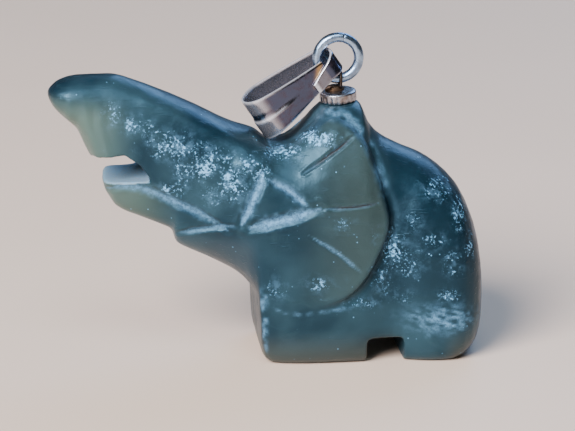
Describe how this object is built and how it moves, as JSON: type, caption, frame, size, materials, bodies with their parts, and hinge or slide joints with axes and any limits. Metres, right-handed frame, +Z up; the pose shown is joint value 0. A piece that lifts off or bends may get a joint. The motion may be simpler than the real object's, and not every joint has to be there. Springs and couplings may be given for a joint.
{
  "type": "carved animal pendant",
  "caption": "Carved jade elephant with raised trunk, hung by a fluted metal cap, wire eye, jump ring and folded strip bail.",
  "frame": {"origin": "middle of the bounding box on the plane of the soles", "axes": "+X from the trunk to the rump, +Y across the elephant, +Z up"},
  "size_m": [0.0428, 0.0148, 0.0322],
  "materials": {
    "jade": "polished nephrite with frosted scratches",
    "cement": "set cement, dull",
    "cap_metal": "plated, lightly tarnished",
    "solder": "dull brown solder",
    "eye_metal": "plated, tarnished",
    "ring_metal": "bright plated wire",
    "bail_metal": "bright plated sheet"
  },
  "bodies": {
    "pendant": {"jade_elephant": "jade", "peg_cement": "cement", "peg_cap": "cap_metal", "solder_bead": "solder", "screw_eye": "eye_metal"},
    "ring": {"jump_ring": "ring_metal"},
    "bail": {"bail": "bail_metal"}
  },
  "joints": [
    {"name": "ring_swing", "type": "hinge", "parent": "pendant", "child": "ring", "pos_m": [0.00738, 0, 0.02835], "axis": [0, 1, 0], "range_deg": [0, 40]},
    {"name": "bail_swing", "type": "hinge", "parent": "ring", "child": "bail", "pos_m": [0.00716, 0, 0.02966], "axis": [0, 1, 0], "range_deg": [0, 150]}
  ]
}
